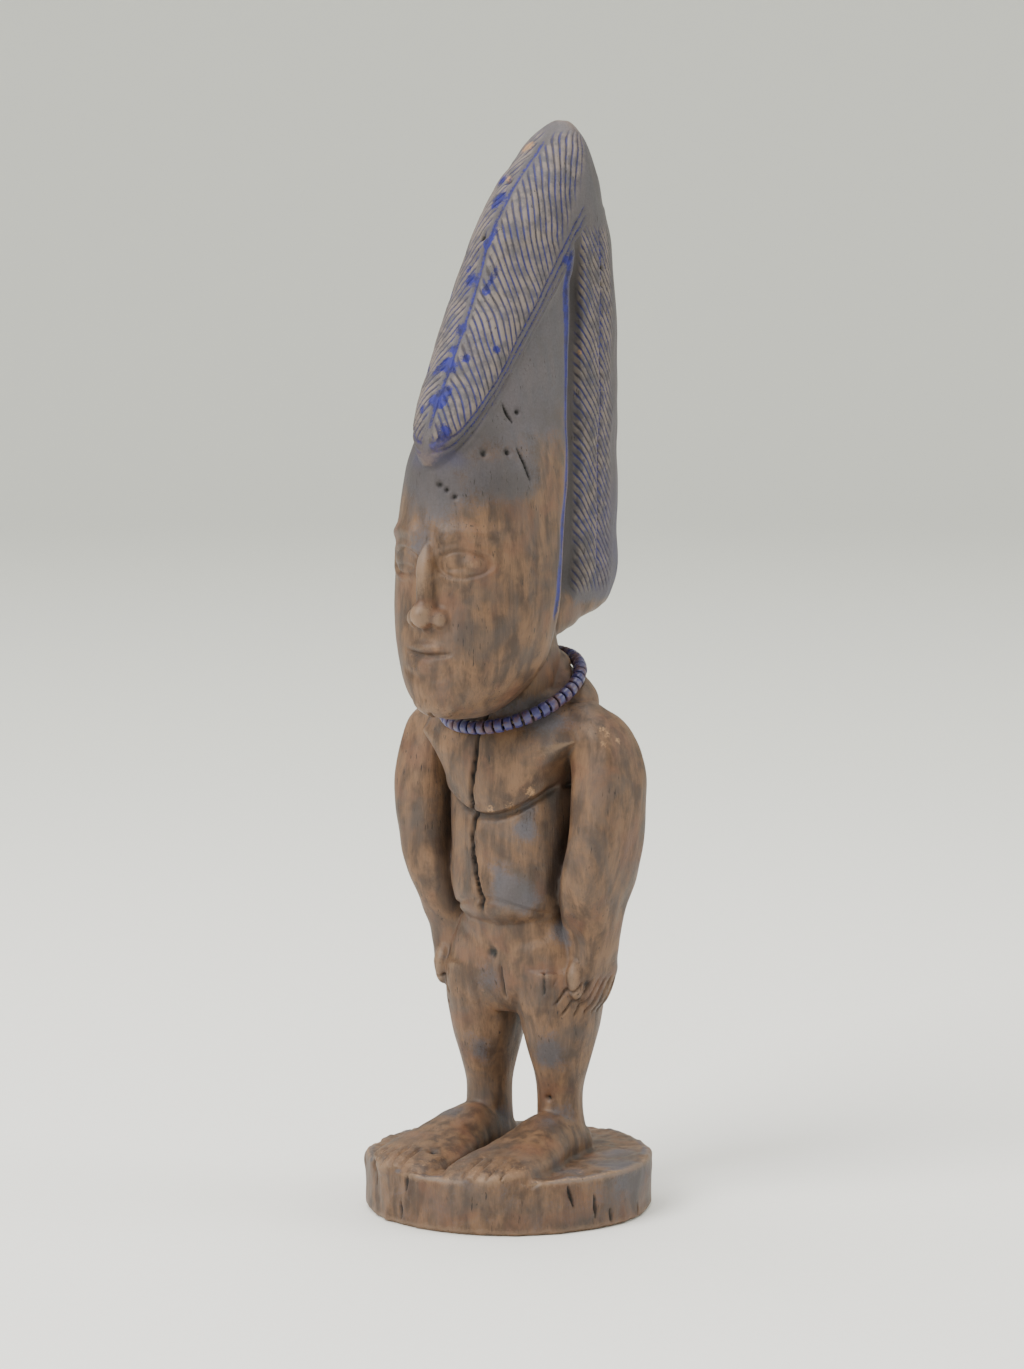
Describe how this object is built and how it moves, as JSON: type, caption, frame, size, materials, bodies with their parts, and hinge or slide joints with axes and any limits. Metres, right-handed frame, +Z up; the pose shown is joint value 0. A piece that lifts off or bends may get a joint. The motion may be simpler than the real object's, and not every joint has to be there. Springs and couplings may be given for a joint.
{
  "type": "carved wooden figure with a bead necklace",
  "caption": "Standing carved wooden figure with a tall grooved crest of hair on a round base, wearing a loose string of small glass beads.",
  "frame": {"origin": "centre of the base's flat underside", "axes": "+Z up through the figure, -Y the way its face looks, +X its left side"},
  "size_m": [0.0736, 0.0839, 0.276],
  "materials": {
    "wood": "old hand-worn carving, dry brown wood with blue pigment and grey patina on the hair",
    "thread": "twisted cotton thread, undyed and soiled",
    "bead_glass": "opaque lavender-blue glass, worn and dull in places"
  },
  "bodies": {
    "figure": {"carved_figure": "wood"},
    "string": {"necklace_thread": "thread"},
    "bead_01": {"bead_01": "bead_glass"},
    "bead_02": {"bead_02": "bead_glass"},
    "bead_03": {"bead_03": "bead_glass"},
    "bead_04": {"bead_04": "bead_glass"},
    "bead_05": {"bead_05": "bead_glass"},
    "bead_06": {"bead_06": "bead_glass"},
    "bead_07": {"bead_07": "bead_glass"},
    "bead_08": {"bead_08": "bead_glass"},
    "bead_09": {"bead_09": "bead_glass"},
    "bead_10": {"bead_10": "bead_glass"},
    "bead_11": {"bead_11": "bead_glass"},
    "bead_12": {"bead_12": "bead_glass"},
    "bead_13": {"bead_13": "bead_glass"},
    "bead_14": {"bead_14": "bead_glass"},
    "bead_15": {"bead_15": "bead_glass"},
    "bead_16": {"bead_16": "bead_glass"},
    "bead_17": {"bead_17": "bead_glass"},
    "bead_18": {"bead_18": "bead_glass"},
    "bead_19": {"bead_19": "bead_glass"},
    "bead_20": {"bead_20": "bead_glass"},
    "bead_21": {"bead_21": "bead_glass"},
    "bead_22": {"bead_22": "bead_glass"},
    "bead_23": {"bead_23": "bead_glass"},
    "bead_24": {"bead_24": "bead_glass"},
    "bead_25": {"bead_25": "bead_glass"},
    "bead_26": {"bead_26": "bead_glass"},
    "bead_27": {"bead_27": "bead_glass"},
    "bead_28": {"bead_28": "bead_glass"},
    "bead_29": {"bead_29": "bead_glass"},
    "bead_30": {"bead_30": "bead_glass"},
    "bead_31": {"bead_31": "bead_glass"},
    "bead_32": {"bead_32": "bead_glass"},
    "bead_33": {"bead_33": "bead_glass"},
    "bead_34": {"bead_34": "bead_glass"},
    "bead_35": {"bead_35": "bead_glass"},
    "bead_36": {"bead_36": "bead_glass"},
    "bead_37": {"bead_37": "bead_glass"},
    "bead_38": {"bead_38": "bead_glass"},
    "bead_39": {"bead_39": "bead_glass"},
    "bead_40": {"bead_40": "bead_glass"},
    "bead_41": {"bead_41": "bead_glass"},
    "bead_42": {"bead_42": "bead_glass"},
    "bead_43": {"bead_43": "bead_glass"},
    "bead_44": {"bead_44": "bead_glass"},
    "bead_45": {"bead_45": "bead_glass"},
    "bead_46": {"bead_46": "bead_glass"}
  },
  "joints": [
    {"name": "necklace_turn", "type": "hinge", "parent": "figure", "child": "string", "pos_m": [0, 0.0015, 0.13295], "axis": [-0.0702, -0.4462, 0.8922], "continuous": true},
    {"name": "bead_01_spin", "type": "hinge", "parent": "string", "child": "bead_01", "pos_m": [-0.00305, 0.01762, 0.14077], "axis": [0.9834, 0.1193, 0.137], "continuous": true},
    {"name": "bead_02_spin", "type": "hinge", "parent": "string", "child": "bead_02", "pos_m": [-0.0054, 0.01719, 0.14037], "axis": [0.9522, 0.2364, 0.1932], "continuous": true},
    {"name": "bead_03_spin", "type": "hinge", "parent": "string", "child": "bead_03", "pos_m": [-0.00766, 0.01648, 0.13984], "axis": [0.9041, 0.3494, 0.2459], "continuous": true},
    {"name": "bead_04_spin", "type": "hinge", "parent": "string", "child": "bead_04", "pos_m": [-0.00978, 0.0155, 0.13918], "axis": [0.8399, 0.4561, 0.2942], "continuous": true},
    {"name": "bead_05_spin", "type": "hinge", "parent": "string", "child": "bead_05", "pos_m": [-0.01173, 0.01427, 0.13841], "axis": [0.7607, 0.5546, 0.3373], "continuous": true},
    {"name": "bead_06_spin", "type": "hinge", "parent": "string", "child": "bead_06", "pos_m": [-0.01347, 0.01281, 0.13755], "axis": [0.6679, 0.6433, 0.3743], "continuous": true},
    {"name": "bead_07_spin", "type": "hinge", "parent": "string", "child": "bead_07", "pos_m": [-0.01497, 0.01115, 0.1366], "axis": [0.5632, 0.7205, 0.4047], "continuous": true},
    {"name": "bead_08_spin", "type": "hinge", "parent": "string", "child": "bead_08", "pos_m": [-0.0162, 0.00932, 0.13559], "axis": [0.4484, 0.7848, 0.4278], "continuous": true},
    {"name": "bead_09_spin", "type": "hinge", "parent": "string", "child": "bead_09", "pos_m": [-0.01714, 0.00735, 0.13453], "axis": [0.3256, 0.8351, 0.4433], "continuous": true},
    {"name": "bead_10_spin", "type": "hinge", "parent": "string", "child": "bead_10", "pos_m": [-0.01777, 0.00527, 0.13344], "axis": [0.1971, 0.8706, 0.4509], "continuous": true},
    {"name": "bead_11_spin", "type": "hinge", "parent": "string", "child": "bead_11", "pos_m": [-0.01809, 0.00313, 0.13234], "axis": [0.065, 0.8904, 0.4504], "continuous": true},
    {"name": "bead_12_spin", "type": "hinge", "parent": "string", "child": "bead_12", "pos_m": [-0.01809, 0.00096, 0.13125], "axis": [-0.0683, 0.8944, 0.442], "continuous": true},
    {"name": "bead_13_spin", "type": "hinge", "parent": "string", "child": "bead_13", "pos_m": [-0.01776, -0.00121, 0.1302], "axis": [-0.2003, 0.8825, 0.4256], "continuous": true},
    {"name": "bead_14_spin", "type": "hinge", "parent": "string", "child": "bead_14", "pos_m": [-0.01712, -0.00332, 0.12919], "axis": [-0.3288, 0.8548, 0.4016], "continuous": true},
    {"name": "bead_15_spin", "type": "hinge", "parent": "string", "child": "bead_15", "pos_m": [-0.01617, -0.00535, 0.12825], "axis": [-0.4514, 0.8118, 0.3705], "continuous": true},
    {"name": "bead_16_spin", "type": "hinge", "parent": "string", "child": "bead_16", "pos_m": [-0.01493, -0.00725, 0.1274], "axis": [-0.5659, 0.7543, 0.3327], "continuous": true},
    {"name": "bead_17_spin", "type": "hinge", "parent": "string", "child": "bead_17", "pos_m": [-0.01343, -0.009, 0.12664], "axis": [-0.6704, 0.6834, 0.289], "continuous": true},
    {"name": "bead_18_spin", "type": "hinge", "parent": "string", "child": "bead_18", "pos_m": [-0.01168, -0.01056, 0.126], "axis": [-0.7628, 0.6003, 0.2402], "continuous": true},
    {"name": "bead_19_spin", "type": "hinge", "parent": "string", "child": "bead_19", "pos_m": [-0.00973, -0.01191, 0.12548], "axis": [-0.8417, 0.5065, 0.1871], "continuous": true},
    {"name": "bead_20_spin", "type": "hinge", "parent": "string", "child": "bead_20", "pos_m": [-0.0076, -0.01302, 0.12509], "axis": [-0.9056, 0.4036, 0.1306], "continuous": true},
    {"name": "bead_21_spin", "type": "hinge", "parent": "string", "child": "bead_21", "pos_m": [-0.00534, -0.01387, 0.12484], "axis": [-0.9532, 0.2936, 0.0718], "continuous": true},
    {"name": "bead_22_spin", "type": "hinge", "parent": "string", "child": "bead_22", "pos_m": [-0.00299, -0.01444, 0.12474], "axis": [-0.9839, 0.1783, 0.0117], "continuous": true},
    {"name": "bead_23_spin", "type": "hinge", "parent": "string", "child": "bead_23", "pos_m": [-0.00057, -0.01473, 0.12479], "axis": [-0.997, 0.0598, -0.0486], "continuous": true},
    {"name": "bead_24_spin", "type": "hinge", "parent": "string", "child": "bead_24", "pos_m": [0.00185, -0.01473, 0.12498], "axis": [-0.9924, -0.0598, -0.108], "continuous": true},
    {"name": "bead_25_spin", "type": "hinge", "parent": "string", "child": "bead_25", "pos_m": [0.00423, -0.01444, 0.12531], "axis": [-0.97, -0.1783, -0.1655], "continuous": true},
    {"name": "bead_26_spin", "type": "hinge", "parent": "string", "child": "bead_26", "pos_m": [0.00654, -0.01387, 0.12578], "axis": [-0.9303, -0.2936, -0.22], "continuous": true},
    {"name": "bead_27_spin", "type": "hinge", "parent": "string", "child": "bead_27", "pos_m": [0.00874, -0.01302, 0.12638], "axis": [-0.874, -0.4036, -0.2706], "continuous": true},
    {"name": "bead_28_spin", "type": "hinge", "parent": "string", "child": "bead_28", "pos_m": [0.01078, -0.01191, 0.12709], "axis": [-0.8021, -0.5065, -0.3164], "continuous": true},
    {"name": "bead_29_spin", "type": "hinge", "parent": "string", "child": "bead_29", "pos_m": [0.01263, -0.01056, 0.12791], "axis": [-0.7159, -0.6003, -0.3566], "continuous": true},
    {"name": "bead_30_spin", "type": "hinge", "parent": "string", "child": "bead_30", "pos_m": [0.01425, -0.009, 0.12882], "axis": [-0.6169, -0.6834, -0.3903], "continuous": true},
    {"name": "bead_31_spin", "type": "hinge", "parent": "string", "child": "bead_31", "pos_m": [0.01562, -0.00725, 0.1298], "axis": [-0.5069, -0.7543, -0.4172], "continuous": true},
    {"name": "bead_32_spin", "type": "hinge", "parent": "string", "child": "bead_32", "pos_m": [0.01671, -0.00535, 0.13084], "axis": [-0.3879, -0.8118, -0.4365], "continuous": true},
    {"name": "bead_33_spin", "type": "hinge", "parent": "string", "child": "bead_33", "pos_m": [0.0175, -0.00332, 0.13192], "axis": [-0.2619, -0.8548, -0.4481], "continuous": true},
    {"name": "bead_34_spin", "type": "hinge", "parent": "string", "child": "bead_34", "pos_m": [0.01797, -0.00121, 0.13301], "axis": [-0.1313, -0.8825, -0.4517], "continuous": true},
    {"name": "bead_35_spin", "type": "hinge", "parent": "string", "child": "bead_35", "pos_m": [0.01813, 0.00096, 0.13411], "axis": [0.0017, -0.8944, -0.4472], "continuous": true},
    {"name": "bead_36_spin", "type": "hinge", "parent": "string", "child": "bead_36", "pos_m": [0.01797, 0.00313, 0.13518], "axis": [0.1346, -0.8904, -0.4347], "continuous": true},
    {"name": "bead_37_spin", "type": "hinge", "parent": "string", "child": "bead_37", "pos_m": [0.01748, 0.00527, 0.13621], "axis": [0.2652, -0.8706, -0.4145], "continuous": true},
    {"name": "bead_38_spin", "type": "hinge", "parent": "string", "child": "bead_38", "pos_m": [0.01668, 0.00735, 0.13719], "axis": [0.391, -0.8351, -0.3869], "continuous": true},
    {"name": "bead_39_spin", "type": "hinge", "parent": "string", "child": "bead_39", "pos_m": [0.01558, 0.00932, 0.13809], "axis": [0.5098, -0.7848, -0.3524], "continuous": true},
    {"name": "bead_40_spin", "type": "hinge", "parent": "string", "child": "bead_40", "pos_m": [0.01421, 0.01115, 0.13889], "axis": [0.6195, -0.7205, -0.3116], "continuous": true},
    {"name": "bead_41_spin", "type": "hinge", "parent": "string", "child": "bead_41", "pos_m": [0.01258, 0.01281, 0.1396], "axis": [0.7182, -0.6433, -0.2652], "continuous": true},
    {"name": "bead_42_spin", "type": "hinge", "parent": "string", "child": "bead_42", "pos_m": [0.01073, 0.01427, 0.14018], "axis": [0.8041, -0.5546, -0.2141], "continuous": true},
    {"name": "bead_43_spin", "type": "hinge", "parent": "string", "child": "bead_43", "pos_m": [0.00869, 0.0155, 0.14063], "axis": [0.8756, -0.4561, -0.1592], "continuous": true},
    {"name": "bead_44_spin", "type": "hinge", "parent": "string", "child": "bead_44", "pos_m": [0.00649, 0.01648, 0.14095], "axis": [0.9315, -0.3494, -0.1014], "continuous": true},
    {"name": "bead_45_spin", "type": "hinge", "parent": "string", "child": "bead_45", "pos_m": [0.00417, 0.01719, 0.14113], "axis": [0.9707, -0.2364, -0.0418], "continuous": true},
    {"name": "bead_46_spin", "type": "hinge", "parent": "string", "child": "bead_46", "pos_m": [0.00178, 0.01762, 0.14115], "axis": [0.9927, -0.1193, 0.0185], "continuous": true}
  ]
}
